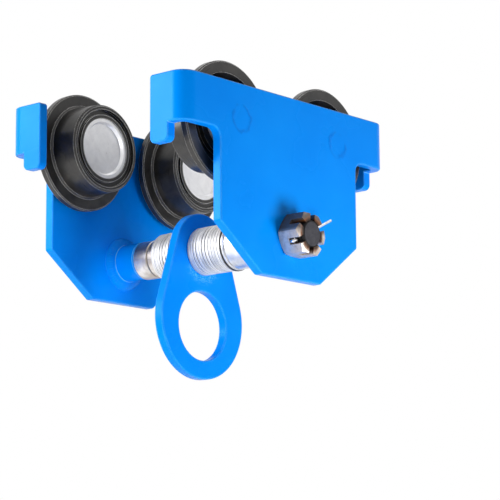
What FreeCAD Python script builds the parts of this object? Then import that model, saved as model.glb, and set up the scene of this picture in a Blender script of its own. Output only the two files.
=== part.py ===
import FreeCAD, Part
import Sketcher
import os
import re

# Push trolley that runs on the lower flange of a beam.
# X runs along the beam, Y across it and Z up.
# The origin is level with the bottoms of the wheels' treads, where the beam's flange carries them,
# and midway between the side plates and between the wheels. Heights below are from the shaft's axis.

doc = FreeCAD.newDocument("BeamTrolley")
sheet = doc.addObject("Spreadsheet::Sheet", "Sizes")

sizes = [
    # Side plates
    ("plate_thickness", "8"),
    ("plate_length", "236"),
    ("plate_above_axle", "27"),
    ("band_below_axle", "10.3"),
    ("body_width", "158"),
    ("shoulder_height", "1.5"),
    ("plate_drop", "32"),
    ("bottom_width", "68"),
    ("notch_radius", "8"),
    ("bend_inner_radius", "4"),
    ("end_flange_depth", "34"),
    ("tab_width", "18"),
    ("tab_length", "13.7"),
    ("tab_radius", "4.5"),
    ("plate_edge_round", "1.2"),
    ("plate_corner_round", "2.5"),
    # Cross shaft, its nut and its split pin
    ("shaft_diameter", "20"),
    ("shaft_end_out", "20"),
    ("shaft_end_chamfer", "1"),
    ("hex_across", "30"),
    ("head_height", "12.5"),
    ("nut_height", "19.5"),
    ("hex_corner_cut", "0.4"),
    ("nut_slot_count", "6"),
    ("nut_slot_width", "5"),
    ("nut_slot_depth", "10.5"),
    ("thread_fit", "0.03"),
    ("close_fit", "0.25"),
    ("loose_fit", "0.5"),
    ("pin_from_plate", "12"),
    ("pin_diameter", "2"),
    ("pin_fit", "0.25"),
    ("pin_angle", "26"),
    ("pin_reach", "35"),
    ("pin_split", "0.1"),
    ("pin_eye_radius", "2"),
    ("pin_bend_radius", "0.5"),
    ("pin_nut_gap", "0.3"),
    ("pin_tail", "9"),
    # Pieces threaded on the shaft, from the front plate to the rear plate
    ("front_spacer_length", "45"),
    ("front_spacer_diameter", "36"),
    ("front_spacer_chamfer", "1.5"),
    ("end_washer_thickness", "1.8"),
    ("black_ring_length", "1.2"),
    ("black_ring_diameter", "38"),
    ("washer_thickness", "3"),
    ("washer_diameter", "37"),
    ("washer_edge", "0.3"),
    ("washer_sag", "0.35"),
    ("washer_shift", "0.2"),
    ("front_washer_count", "11"),
    ("rear_washer_count", "10"),
    ("eye_side_play", "0.15"),
    ("short_collar_length", "8"),
    ("long_collar_length", "15"),
    ("collar_diameter", "30"),
    ("collar_chamfer", "1"),
    ("boss_length", "24"),
    ("boss_diameter", "29.5"),
    ("boss_chamfer", "1"),
    ("weld_leg", "5"),
    # Eye plate
    ("eye_thickness", "8"),
    ("eye_top_radius", "29.5"),
    ("eye_ring_radius", "46"),
    ("eye_ring_drop", "53.3"),
    ("eye_hole_radius", "26.75"),
    ("eye_hole_drop", "58"),
    ("eye_edge_round", "1.2"),
    # Wheels
    ("wheel_spacing", "112"),
    ("axle_height", "80"),
    ("wheel_gap", "5"),
    ("wheel_width", "30"),
    ("flange_radius", "46"),
    ("flange_width", "6.5"),
    ("flange_chamfer", "1"),
    ("flange_land", "9"),
    ("tread_radius", "35.5"),
    ("tread_taper", "1.3"),
    ("tread_root", "1.5"),
    ("tread_chamfer", "1.5"),
    ("rim_land", "2.2"),
    ("face_groove_depth", "3"),
    ("hub_wall", "3"),
    ("hub_setback", "1"),
    ("recess_depth", "7"),
    ("recess_floor", "4.5"),
    ("hub_front_depth", "3"),
    ("bearing_shoulder", "3"),
    ("shoulder_width", "2"),
    # Bearings
    ("bearing_bore", "20"),
    ("bearing_outside", "47"),
    ("bearing_width", "14"),
    ("bearing_fit", "0.01"),
    ("inner_land_radius", "14.4"),
    ("outer_land_radius", "19.6"),
    ("ball_diameter", "7.9"),
    ("ball_count", "8"),
    ("race_play", "0.15"),
    ("shield_thickness", "0.5"),
    ("shield_setback", "0.4"),
    ("shield_gap", "0.2"),
    # Axle studs, circlips and dust caps
    ("stud_shank_diameter", "24"),
    ("stud_fit", "0.02"),
    ("stud_collar_diameter", "28"),
    ("stud_end_chamfer", "1"),
    ("stud_rivet_chamfer", "0.5"),
    ("circlip_thickness", "1.2"),
    ("circlip_groove_depth", "0.5"),
    ("circlip_wall", "3"),
    ("circlip_play", "0.05"),
    ("circlip_opening", "5"),
    ("stud_tail", "2"),
    ("cap_wall", "1.2"),
    ("cap_fit", "0.02"),
    ("cap_rim_width", "2.5"),
    ("cap_dish", "2.3"),
    ("cap_dish_slope", "1.5"),
    ("cap_setback", "0.5"),
]

for row, (alias, number) in enumerate(sizes, start=1):
    cell = "A%d" % row
    sheet.set(cell, number)
    sheet.setAlias(cell, alias)
doc.recompute()

names = set(alias for alias, number in sizes)
parts = []


def bound(text):
    """Expression in which each size name points at its cell."""
    def pointed(match):
        word = match.group(0)
        return "Sizes." + word if word in names else word

    return re.sub(r"[a-z_]+", pointed, text)


def value(text):
    return float(sheet.evalExpression(bound(text)))


def new_body(label):
    body = doc.addObject("PartDesign::Body", label)
    body.Label = label
    parts.append(body)
    return body


def origin_item(body, role):
    return [item for item in body.Origin.OriginFeatures if item.Role == role][0]


def new_sketch(body, name, role, offset=None):
    sketch = body.newObject("Sketcher::SketchObject", name)
    sketch.AttachmentSupport = [(origin_item(body, role), "")]
    sketch.MapMode = "FlatFace"
    if offset is not None:
        sketch.setExpression("AttachmentOffset.Base.z", bound(offset))
    return sketch


def hold(sketch, kind, geometry, spot, text):
    """Dimension from the sketch's origin, or a radius, bound to the sheet."""
    if kind == "Radius":
        made = Sketcher.Constraint(kind, geometry, value(text))
    else:
        made = Sketcher.Constraint(kind, -1, 1, geometry, spot, value(text))
    index = sketch.addConstraint(made)
    name = "%s_%d_%d" % (kind, geometry, spot)
    sketch.renameConstraint(index, name)
    sketch.setExpression("Constraints." + name, bound(text))


def draw_loop(sketch, points):
    """Closed outline of straight lines through the points."""
    first = sketch.GeometryCount
    spots = [FreeCAD.Vector(value(across), value(up), 0) for across, up in points]
    count = len(spots)
    for index in range(count):
        sketch.addGeometry(Part.LineSegment(spots[index], spots[(index + 1) % count]), False)
    for index in range(count):
        following = first + (index + 1) % count
        sketch.addConstraint(Sketcher.Constraint("Coincident", first + index, 2, following, 1))
    for index, (across, up) in enumerate(points):
        hold(sketch, "DistanceX", first + index, 1, across)
        hold(sketch, "DistanceY", first + index, 1, up)


def draw_circle(sketch, across, up, radius):
    centre = FreeCAD.Vector(value(across), value(up), 0)
    circle = sketch.addGeometry(Part.Circle(centre, FreeCAD.Vector(0, 0, 1), value(radius)), False)
    hold(sketch, "DistanceX", circle, 3, across)
    hold(sketch, "DistanceY", circle, 3, up)
    hold(sketch, "Radius", circle, 0, radius)
    return circle


def pad(body, name, sketch, length):
    feature = body.newObject("PartDesign::Pad", name)
    feature.Profile = sketch
    feature.setExpression("Length", bound(length))
    sketch.Visibility = False
    doc.recompute()
    return feature


def cut(body, name, sketch, depth=None):
    """Pocket to a depth, or right through on both sides of the sketch."""
    before = body.Shape.Volume
    feature = body.newObject("PartDesign::Pocket", name)
    feature.Profile = sketch
    if depth is None:
        feature.Type = "ThroughAll"
        feature.Midplane = True
    else:
        feature.setExpression("Length", bound(depth))
    sketch.Visibility = False
    doc.recompute()
    if not body.Shape.Volume < before:
        raise RuntimeError(name + " cuts nothing from " + body.Label)
    return feature


def turn(body, name, sketch):
    feature = body.newObject("PartDesign::Revolution", name)
    feature.Profile = sketch
    feature.ReferenceAxis = (sketch, ["V_Axis"])
    feature.Angle = 360
    sketch.Visibility = False
    doc.recompute()
    return feature


def round_edges(body, name, radius, wanted):
    """Fillet on the edges of the body that pass the test."""
    base = body.Tip
    edges = ["Edge%d" % index for index, edge in enumerate(base.Shape.Edges, start=1) if wanted(edge)]
    if not edges:
        raise RuntimeError(name + " finds no edge on " + body.Label)
    feature = body.newObject("PartDesign::Fillet", name)
    feature.Base = (base, edges)
    feature.setExpression("Radius", bound(radius))
    doc.recompute()
    return feature


def turned_piece(label, points):
    """Piece turned about its own Z from an outline of radius and height."""
    body = new_body(label)
    sketch = new_sketch(body, label + "_profile", "XZ_Plane")
    draw_loop(sketch, points)
    turn(body, label + "_turned", sketch)
    return body


def place(body, across, along, up, rotation):
    """Set a piece in the trolley, with its height given from the shaft's axis."""
    height = up + " - (axle_height - tread_radius)"
    body.Placement = FreeCAD.Placement(FreeCAD.Vector(value(across), value(along), value(height)), rotation)
    body.setExpression("Placement.Base.x", bound(across))
    body.setExpression("Placement.Base.y", bound(along))
    body.setExpression("Placement.Base.z", bound(height))


level = FreeCAD.Rotation()
half_turn = FreeCAD.Rotation(FreeCAD.Vector(0, 0, 1), 180)
to_rear = FreeCAD.Rotation(FreeCAD.Vector(1, 0, 0), -90)
to_front = FreeCAD.Rotation(FreeCAD.Vector(1, 0, 0), 90)

# The stack on the shaft sets how far apart the side plates stand.
washer_stacks = "(front_washer_count + rear_washer_count) * washer_thickness"
eye_slot = "(eye_thickness + 2 * eye_side_play)"
spacer_pieces = "front_spacer_length + end_washer_thickness + black_ring_length"
loose_pieces = spacer_pieces + " + " + washer_stacks + " + " + eye_slot
rear_pieces = "short_collar_length + long_collar_length + boss_length"
plate_gap = "(" + loose_pieces + " + " + rear_pieces + ")"
front_inside = "(-" + plate_gap + " / 2)"
rear_inside = "(" + plate_gap + " / 2)"
front_outside = "(" + front_inside + " - plate_thickness)"
rear_outside = "(" + rear_inside + " + plate_thickness)"

shaft_radius = "shaft_diameter / 2"
loose_bore = "(shaft_diameter / 2 + loose_fit)"
close_bore = "(shaft_diameter / 2 + close_fit)"

plate_top = "(axle_height + plate_above_axle)"
band_bottom = "(axle_height - band_below_axle)"
tab_bottom = "(axle_height - band_below_axle - tab_length)"
past_edge = "10"
close = 0.01


def edge_is_upright(edge, across, along):
    box = edge.BoundBox
    return (box.ZLength > 1 and box.XLength < close and box.YLength < close
            and abs(abs(box.XMin) - across) < close and abs(box.YMin - along) < close)


def edge_runs_in(edge, along_y, across, up):
    """Edge square to the plate (along_y) or along X, at a place in the plate's outline."""
    box = edge.BoundBox
    if box.ZLength > close or abs(box.ZMin - up) > close:
        return False
    if along_y:
        return box.YLength > 1 and box.XLength < close and abs(abs(box.XMin) - across) < close
    return box.XLength > 1 and box.YLength < close and abs(box.YMin - across) < close


def side_plate(label):
    """Plate cut to a T, with both ends of its arms bent in towards the beam."""
    body = new_body(label)
    half = "plate_length / 2"
    wall = "(plate_length / 2 - plate_thickness)"
    section = new_sketch(body, label + "_section", "XY_Plane", "-plate_drop")
    draw_loop(section, [
        ("-" + half, "0"), (half, "0"), (half, "end_flange_depth"), (wall, "end_flange_depth"),
        (wall, "plate_thickness"), ("-" + wall, "plate_thickness"),
        ("-" + wall, "end_flange_depth"), ("-" + half, "end_flange_depth"),
    ])
    pad(body, label + "_channel", section, plate_top + " + plate_drop")
    length = value(half)
    inner = value(wall)
    thick = value("plate_thickness")
    depth = value("end_flange_depth")
    round_edges(body, label + "_bend_outside", "bend_inner_radius + plate_thickness",
                lambda edge: edge_is_upright(edge, length, 0))
    round_edges(body, label + "_bend_inside", "bend_inner_radius",
                lambda edge: edge_is_upright(edge, inner, thick))
    outline = new_sketch(body, label + "_outline", "XZ_Plane")
    far = "(plate_length / 2 + " + past_edge + ")"
    below = "(-plate_drop - " + past_edge + ")"
    for side in ("", "-"):
        draw_loop(outline, [
            (side + "body_width / 2", band_bottom), (side + "body_width / 2", "shoulder_height"),
            (side + "bottom_width / 2", "-plate_drop"), (side + "bottom_width / 2", below),
            (side + far, below), (side + far, band_bottom),
        ])
    cut(body, label + "_arms", outline, "end_flange_depth - tab_width")
    under = new_sketch(body, label + "_tab_ends", "YZ_Plane")
    draw_loop(under, [
        ("end_flange_depth - tab_width", tab_bottom), ("end_flange_depth - tab_width", below),
        ("end_flange_depth + " + past_edge, below), ("end_flange_depth + " + past_edge, tab_bottom),
    ])
    cut(body, label + "_tabs", under)
    body_side = value("body_width / 2")
    bottom_side = value("bottom_width / 2")
    band = value(band_bottom)
    shoulder = value("shoulder_height")
    drop = value("-plate_drop")
    tab = value(tab_bottom)
    tab_edge = value("end_flange_depth - tab_width")
    top = value(plate_top)
    round_edges(body, label + "_notches", "notch_radius",
                lambda edge: edge_runs_in(edge, True, body_side, band))
    round_edges(body, label + "_tab_corners", "tab_radius",
                lambda edge: (edge_runs_in(edge, False, tab_edge, tab)
                              or edge_runs_in(edge, False, depth, tab)))
    round_edges(body, label + "_corners", "plate_corner_round",
                lambda edge: (edge_runs_in(edge, True, body_side, shoulder)
                              or edge_runs_in(edge, True, bottom_side, drop)
                              or edge_runs_in(edge, False, depth, top)))
    round_edges(body, label + "_edges", "plate_edge_round",
                lambda edge: edge_is_outer(edge, thick, inner, length))
    holes = new_sketch(body, label + "_holes", "XZ_Plane")
    draw_circle(holes, "0", "0", close_bore)
    for side in ("-", ""):
        draw_circle(holes, side + "wheel_spacing / 2", "axle_height", "stud_shank_diameter / 2 + stud_fit")
    cut(body, label + "_drilled", holes)
    return body


def edge_is_outer(edge, thick, inner, length):
    """Edge of the plate's outer or inner skin, and not one that crosses its thickness."""
    middle = edge.valueAt((edge.FirstParameter + edge.LastParameter) / 2)
    box = edge.BoundBox
    on_outside = abs(middle.y) < close or abs(abs(middle.x) - length) < close
    on_inside = abs(middle.y - thick) < close or abs(abs(middle.x) - inner) < close
    crosses_plate = box.YLength > thick - close and box.XLength < close and abs(middle.x) < inner - thick
    return (on_outside or on_inside) and not crosses_plate


front_plate = side_plate("front_side_plate")
place(front_plate, "0", front_outside, "0", level)
rear_plate = side_plate("rear_side_plate")
place(rear_plate, "0", rear_outside, "0", half_turn)

# Boss welded round the shaft hole of the rear plate
boss = turned_piece("rear_boss", [
    (close_bore, "0"), ("boss_diameter / 2 + weld_leg", "0"), ("boss_diameter / 2", "weld_leg"),
    ("boss_diameter / 2", "boss_length - boss_chamfer"),
    ("boss_diameter / 2 - boss_chamfer", "boss_length"), (close_bore, "boss_length"),
])
place(boss, "0", rear_inside, "0", to_front)

# Shaft: a bolt with its head behind the rear plate and a pin hole near its end
half_across = "hex_across / 2"
half_flat = "hex_across / 2 * tan(30)"
half_corner = "hex_across / 2 / cos(30)"
hexagon = [
    (half_across, "-" + half_flat), (half_across, half_flat), ("0", half_corner),
    ("-" + half_across, half_flat), ("-" + half_across, "-" + half_flat), ("0", "-" + half_corner),
]
shaft_length = "(" + plate_gap + " + 2 * plate_thickness + shaft_end_out)"
pin_turn = FreeCAD.Rotation(FreeCAD.Vector(0, 0, 1), value("pin_angle"))


def corner_cut(body, name, end, side):
    """Turned-off corners of a hexagon at one end; side is + or - for the way the end faces."""
    sketch = new_sketch(body, name + "_cut", "XZ_Plane")
    back = "-" if side == "+" else "+"
    wide = half_corner + " + 1"
    draw_loop(sketch, [
        (half_across + " - hex_corner_cut", end), (wide, end),
        (wide, end + " " + back + " (" + wide + " - " + half_across + " + hex_corner_cut) * tan(30)"),
    ])
    before = body.Shape.Volume
    feature = body.newObject("PartDesign::Groove", name)
    feature.Profile = sketch
    feature.ReferenceAxis = (sketch, ["V_Axis"])
    feature.Angle = 360
    sketch.Visibility = False
    doc.recompute()
    if not body.Shape.Volume < before:
        raise RuntimeError(name + " cuts nothing from " + body.Label)


shaft = turned_piece("cross_shaft", [
    ("0", "0"), (shaft_radius, "0"), (shaft_radius, shaft_length + " - shaft_end_chamfer"),
    (shaft_radius + " - shaft_end_chamfer", shaft_length), ("0", shaft_length),
])
head = new_sketch(shaft, "head_outline", "XY_Plane", "-head_height")
draw_loop(head, hexagon)
pad(shaft, "bolt_head", head, "head_height")
corner_cut(shaft, "head_corners", "-head_height", "-")
pin_hole = new_sketch(shaft, "pin_hole_outline", "YZ_Plane")
pin_place = "(" + shaft_length + " - shaft_end_out + pin_from_plate)"
draw_circle(pin_hole, "0", pin_place, "pin_diameter / 2 + pin_fit")
cut(shaft, "pin_hole", pin_hole)
place(shaft, "0", rear_outside, "0", to_front.multiply(pin_turn))

# Castle nut against the front plate, with a slot in the middle of each flat
nut = new_body("castle_nut")
nut_outline = new_sketch(nut, "nut_outline", "XY_Plane")
draw_loop(nut_outline, hexagon)
draw_circle(nut_outline, "0", "0", shaft_radius + " + thread_fit")
pad(nut, "nut_hexagon", nut_outline, "nut_height")
corner_cut(nut, "nut_outer_corners", "nut_height", "+")
corner_cut(nut, "nut_inner_corners", "0", "-")
slot = new_sketch(nut, "slot_outline", "XY_Plane", "nut_height")
draw_loop(slot, [
    ("-hex_across", "-nut_slot_width / 2"), ("hex_across", "-nut_slot_width / 2"),
    ("hex_across", "nut_slot_width / 2"), ("-hex_across", "nut_slot_width / 2"),
])
first_slot = cut(nut, "nut_slot", slot, "nut_slot_depth")
slots = nut.newObject("PartDesign::PolarPattern", "nut_slots")
slots.Originals = [first_slot]
slots.Axis = (origin_item(nut, "Z_Axis"), [""])
slots.setExpression("Angle", bound("180 - 360 / nut_slot_count"))
slots.setExpression("Occurrences", bound("nut_slot_count / 2"))
nut.Tip = slots
doc.recompute()
place(nut, "0", front_outside, "0", to_front.multiply(pin_turn))

# Split pin: half-round wire folded round an eye, with both legs through the nut's slots and the shaft.
# Its outer leg sticks out straight and its inner leg is bent over, towards the plate.
pin = new_body("cotter_pin")
eye_out = "(pin_eye_radius + pin_diameter / 2)"
eye_place = "(-shaft_diameter / 2 - pin_nut_gap - " + eye_out + ")"
legs_start = "(" + eye_place + " + pin_eye_radius)"
leg_flat = "(pin_split / 2)"
bend_middle = "(pin_split / 2 + pin_diameter / 2 + pin_bend_radius)"
bend_start = "(hex_across / 2 + pin_nut_gap - pin_bend_radius)"


def half_round(sketch, side):
    """Half disc of the wire, with its flat towards the other leg."""
    radius = value("pin_diameter / 2")
    flat = value(leg_flat)
    low = FreeCAD.Vector(side * flat, -radius, 0)
    high = FreeCAD.Vector(side * flat, radius, 0)
    arc = sketch.addGeometry(Part.Arc(low, FreeCAD.Vector(side * (flat + radius), 0, 0), high), False)
    chord = sketch.addGeometry(Part.LineSegment(low, high), False)
    ends = (1, 2) if side > 0 else (2, 1)
    sketch.addConstraint(Sketcher.Constraint("Coincident", arc, ends[0], chord, 1))
    sketch.addConstraint(Sketcher.Constraint("Coincident", arc, ends[1], chord, 2))
    hold(sketch, "DistanceX", arc, 3, "pin_split / 2" if side > 0 else "-pin_split / 2")
    hold(sketch, "DistanceY", arc, 3, "0")
    hold(sketch, "Radius", arc, 0, "pin_diameter / 2")
    sketch.addConstraint(Sketcher.Constraint("Vertical", chord))
    sketch.addConstraint(Sketcher.Constraint("PointOnObject", arc, 3, chord))


eye_section = new_sketch(pin, "pin_eye_section", "XY_Plane", eye_place)
draw_loop(eye_section, [
    ("pin_eye_radius", "-pin_diameter / 2"), (eye_out + " - pin_diameter / 4", "-pin_diameter / 2"),
    (eye_out, "-pin_diameter / 5"), (eye_out, "pin_diameter / 5"),
    (eye_out + " - pin_diameter / 4", "pin_diameter / 2"), ("pin_eye_radius", "pin_diameter / 2"),
])
turn(pin, "pin_eye", eye_section)
outer_leg = new_sketch(pin, "outer_leg_section", "XY_Plane", legs_start)
half_round(outer_leg, -1)
pad(pin, "outer_leg", outer_leg, "pin_reach - " + legs_start)
inner_leg = new_sketch(pin, "inner_leg_section", "XY_Plane", legs_start)
half_round(inner_leg, 1)
inner_path = new_sketch(pin, "inner_leg_path", "XZ_Plane")
bend = value("pin_diameter / 2 + pin_bend_radius")
bend_corner = FreeCAD.Vector(value(bend_middle), value(bend_start), 0)
path_start = FreeCAD.Vector(value(leg_flat), value(legs_start), 0)
path_turn = FreeCAD.Vector(value(leg_flat), value(bend_start), 0)
path_over = FreeCAD.Vector(value(bend_middle), value(bend_start) + bend, 0)
path_end = FreeCAD.Vector(value("pin_tail"), value(bend_start) + bend, 0)
half_way = bend_corner + FreeCAD.Vector(-bend, bend, 0) * 0.5 ** 0.5
straight = inner_path.addGeometry(Part.LineSegment(path_start, path_turn), False)
curve = inner_path.addGeometry(Part.Arc(path_turn, half_way, path_over), False)
tail = inner_path.addGeometry(Part.LineSegment(path_over, path_end), False)
inner_path.addConstraint(Sketcher.Constraint("Tangent", straight, 2, curve, 2))
inner_path.addConstraint(Sketcher.Constraint("Tangent", curve, 1, tail, 1))
hold(inner_path, "DistanceX", straight, 1, leg_flat)
hold(inner_path, "DistanceY", straight, 1, legs_start)
hold(inner_path, "DistanceX", curve, 3, bend_middle)
hold(inner_path, "DistanceY", curve, 3, bend_start)
hold(inner_path, "DistanceX", straight, 2, leg_flat)
hold(inner_path, "DistanceX", tail, 2, "pin_tail")
folded = pin.newObject("PartDesign::AdditivePipe", "inner_leg")
folded.Profile = inner_leg
folded.Spine = (inner_path, ["Edge1", "Edge2", "Edge3"])
doc.recompute()
pin_way = pin_turn.multVec(FreeCAD.Vector(1, 0, 0))
pin_frame = FreeCAD.Rotation(
    FreeCAD.Vector(0, 1, 0), FreeCAD.Vector(-pin_way.y, 0, pin_way.x),
    FreeCAD.Vector(pin_way.x, 0, pin_way.y), "ZXY")
place(pin, "0", front_outside + " - pin_from_plate", "0", pin_frame)


def sleeve(label, length, diameter, chamfer, start):
    """Tube on the shaft with both outer ends chamfered, hanging on it by its own play."""
    body = turned_piece(label, [
        (loose_bore, "0"), (diameter + " / 2 - " + chamfer, "0"), (diameter + " / 2", chamfer),
        (diameter + " / 2", length + " - " + chamfer), (diameter + " / 2 - " + chamfer, length),
        (loose_bore, length),
    ])
    place(body, "0", start, "-washer_sag", to_rear)
    return body


def washers(label, count, start, shift):
    """Every other washer of a stack, so that neighbours can lie a little to each side."""
    body = new_body(label)
    body.AllowCompound = True
    sketch = new_sketch(body, label + "_profile", "XZ_Plane")
    draw_loop(sketch, [
        (loose_bore, "0"), ("washer_diameter / 2 - washer_edge", "0"), ("washer_diameter / 2", "washer_edge"),
        ("washer_diameter / 2", "washer_thickness - washer_edge"),
        ("washer_diameter / 2 - washer_edge", "washer_thickness"), (loose_bore, "washer_thickness"),
    ])
    first = turn(body, label + "_first", sketch)
    row = body.newObject("PartDesign::LinearPattern", label + "_row")
    row.Originals = [first]
    row.Direction = (origin_item(body, "Z_Axis"), [""])
    row.setExpression("Length", bound("2 * washer_thickness * (" + count + " - 1)"))
    row.setExpression("Occurrences", bound(count))
    body.Tip = row
    doc.recompute()
    place(body, shift, start, "-washer_sag", to_rear)
    return body


end_washer_start = front_inside + " + front_spacer_length"
ring_start = end_washer_start + " + end_washer_thickness"
front_washers_start = ring_start + " + black_ring_length"
eye_start = front_washers_start + " + front_washer_count * washer_thickness + eye_side_play"
rear_washers_start = eye_start + " + eye_thickness + eye_side_play"
short_collar_start = rear_washers_start + " + rear_washer_count * washer_thickness"
long_collar_start = short_collar_start + " + short_collar_length"

sleeve("front_spacer", "front_spacer_length", "front_spacer_diameter", "front_spacer_chamfer", front_inside)
sleeve("end_washer", "end_washer_thickness", "washer_diameter", "washer_edge", end_washer_start)
ring = turned_piece("black_ring", [
    (loose_bore, "0"), ("black_ring_diameter / 2", "0"), ("black_ring_diameter / 2", "black_ring_length"),
    (loose_bore, "black_ring_length"),
])
place(ring, "0", ring_start, "-washer_sag", to_rear)
washers("front_washers_odd", "ceil(front_washer_count / 2)", front_washers_start, "-washer_shift")
washers("front_washers_even", "floor(front_washer_count / 2)", front_washers_start + " + washer_thickness",
        "washer_shift")
washers("rear_washers_odd", "ceil(rear_washer_count / 2)", rear_washers_start, "washer_shift")
washers("rear_washers_even", "floor(rear_washer_count / 2)", rear_washers_start + " + washer_thickness",
        "-washer_shift")
sleeve("short_collar", "short_collar_length", "collar_diameter", "collar_chamfer", short_collar_start)
sleeve("long_collar", "long_collar_length", "collar_diameter", "collar_chamfer", long_collar_start)

# Eye plate: two rounds joined by tangent sides, hung on the shaft
eye = new_body("eye_plate")
eye_outline = new_sketch(eye, "eye_outline", "XZ_Plane")
top_radius = value("eye_top_radius")
ring_radius = value("eye_ring_radius")
drop = value("eye_ring_drop")
lean = (ring_radius - top_radius) / drop
reach = (1 - lean * lean) ** 0.5
top_spot = FreeCAD.Vector(top_radius * reach, top_radius * lean, 0)
low_spot = FreeCAD.Vector(ring_radius * reach, ring_radius * lean - drop, 0)
top_arc = eye_outline.addGeometry(Part.Arc(
    top_spot, FreeCAD.Vector(0, top_radius, 0), FreeCAD.Vector(-top_spot.x, top_spot.y, 0)), False)
left_side = eye_outline.addGeometry(Part.LineSegment(
    FreeCAD.Vector(-top_spot.x, top_spot.y, 0), FreeCAD.Vector(-low_spot.x, low_spot.y, 0)), False)
low_arc = eye_outline.addGeometry(Part.Arc(
    FreeCAD.Vector(-low_spot.x, low_spot.y, 0), FreeCAD.Vector(0, -drop - ring_radius, 0), low_spot), False)
right_side = eye_outline.addGeometry(Part.LineSegment(low_spot, top_spot), False)
for first, first_end, second, second_end in (
        (top_arc, 2, left_side, 1), (left_side, 2, low_arc, 1),
        (low_arc, 2, right_side, 1), (right_side, 2, top_arc, 1)):
    eye_outline.addConstraint(Sketcher.Constraint("Tangent", first, first_end, second, second_end))
for arc, up, radius in ((top_arc, "0", "eye_top_radius"), (low_arc, "-eye_ring_drop", "eye_ring_radius")):
    hold(eye_outline, "DistanceX", arc, 3, "0")
    hold(eye_outline, "DistanceY", arc, 3, up)
    hold(eye_outline, "Radius", arc, 0, radius)
pad(eye, "eye_blank", eye_outline, "eye_thickness")
eye_holes = new_sketch(eye, "eye_holes_outline", "XZ_Plane")
draw_circle(eye_holes, "0", "-eye_hole_drop", "eye_hole_radius")
cut(eye, "hoist_hole", eye_holes)
round_edges(eye, "eye_edges", "eye_edge_round", lambda edge: edge.BoundBox.YLength < 0.01)
shaft_hole = new_sketch(eye, "eye_shaft_outline", "XZ_Plane")
draw_circle(shaft_hole, "0", "0", loose_bore)
cut(eye, "eye_shaft_hole", shaft_hole)
place(eye, "0", eye_start + " + eye_thickness", "0", level)

# Wheels: heights are measured from the plate's inner face, towards the beam
flange_in = "(wheel_gap + flange_width)"
wheel_end = "(wheel_gap + wheel_width)"
seat_start = "(wheel_gap + hub_front_depth + shoulder_width)"
seat_end = "(" + seat_start + " + bearing_width)"
wheel_bore = "(bearing_outside / 2 + bearing_fit)"
hub_radius = "(bearing_outside / 2 + hub_wall)"
recess_radius = "(flange_radius - flange_land)"
shoulder_bore = "(bearing_outside / 2 - bearing_shoulder)"
wheel_profile = [
    (shoulder_bore, "wheel_gap + hub_front_depth"), (hub_radius, "wheel_gap + hub_front_depth"),
    (hub_radius, "wheel_gap + recess_depth"), (hub_radius + " + recess_floor", "wheel_gap + recess_depth"),
    (recess_radius, "wheel_gap"), ("flange_radius - flange_chamfer", "wheel_gap"),
    ("flange_radius", "wheel_gap + flange_chamfer"), ("flange_radius", flange_in + " - flange_chamfer"),
    ("flange_radius - flange_chamfer", flange_in), ("tread_radius + tread_root", flange_in),
    ("tread_radius", flange_in + " + tread_root"),
    ("tread_radius - tread_taper", wheel_end + " - tread_chamfer"),
    ("tread_radius - tread_taper - tread_chamfer", wheel_end),
    ("tread_radius - tread_taper - tread_chamfer - rim_land", wheel_end),
    ("tread_radius - tread_taper - tread_chamfer - rim_land", wheel_end + " - face_groove_depth"),
    (hub_radius, wheel_end + " - face_groove_depth"), (hub_radius, wheel_end + " - hub_setback"),
    (wheel_bore, wheel_end + " - hub_setback"), (wheel_bore, seat_start), (shoulder_bore, seat_start),
]

# Bearing: its rings have round races, and its heights start at the inner ring's plate side
race_radius = "(ball_diameter / 2 + race_play)"
pitch_radius = "(inner_land_radius + outer_land_radius) / 2"
inner_bore = "(bearing_bore / 2 + bearing_fit)"


def race_cut(body, label):
    """Round groove in which the balls run."""
    sketch = new_sketch(body, label + "_race", "XZ_Plane")
    draw_circle(sketch, pitch_radius, "bearing_width / 2", race_radius)
    before = body.Shape.Volume
    feature = body.newObject("PartDesign::Groove", label + "_groove")
    feature.Profile = sketch
    feature.ReferenceAxis = (sketch, ["V_Axis"])
    feature.Angle = 360
    sketch.Visibility = False
    doc.recompute()
    if not body.Shape.Volume < before:
        raise RuntimeError(label + "_groove cuts nothing")


def bearing_ring(label, low, high):
    body = turned_piece(label, [(low, "0"), (high, "0"), (high, "bearing_width"), (low, "bearing_width")])
    race_cut(body, label)
    return body


shield_in = "(inner_land_radius + shield_gap)"
stud_seat = "(bearing_bore / 2)"
groove_floor = "(bearing_bore / 2 - circlip_groove_depth)"
stud_seat_start = "(plate_thickness + " + seat_start + ")"
groove_start = "(" + stud_seat_start + " + bearing_width)"
groove_end = "(" + groove_start + " + circlip_thickness + circlip_play)"
stud_end = "(" + groove_end + " + stud_tail)"
cap_out = "(bearing_outside / 2 - cap_fit)"
cap_in = "(bearing_outside / 2 - cap_fit - cap_wall)"
cap_lip = "(" + cap_out + " - cap_rim_width)"
cap_start = seat_end
cap_end = "(" + wheel_end + " - hub_setback - cap_setback)"
cap_profile = [
    (cap_out, cap_start), (cap_out, cap_end), (cap_lip, cap_end),
    (cap_lip + " - cap_dish_slope", cap_end + " - cap_dish"), ("0", cap_end + " - cap_dish"),
    ("0", cap_end + " - cap_dish - cap_wall"),
    (cap_lip + " - cap_dish_slope - cap_wall / 2", cap_end + " - cap_dish - cap_wall"),
    (cap_lip + " - cap_wall / 2", cap_end + " - cap_wall"), (cap_in, cap_end + " - cap_wall"),
    (cap_in, cap_start),
]

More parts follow.
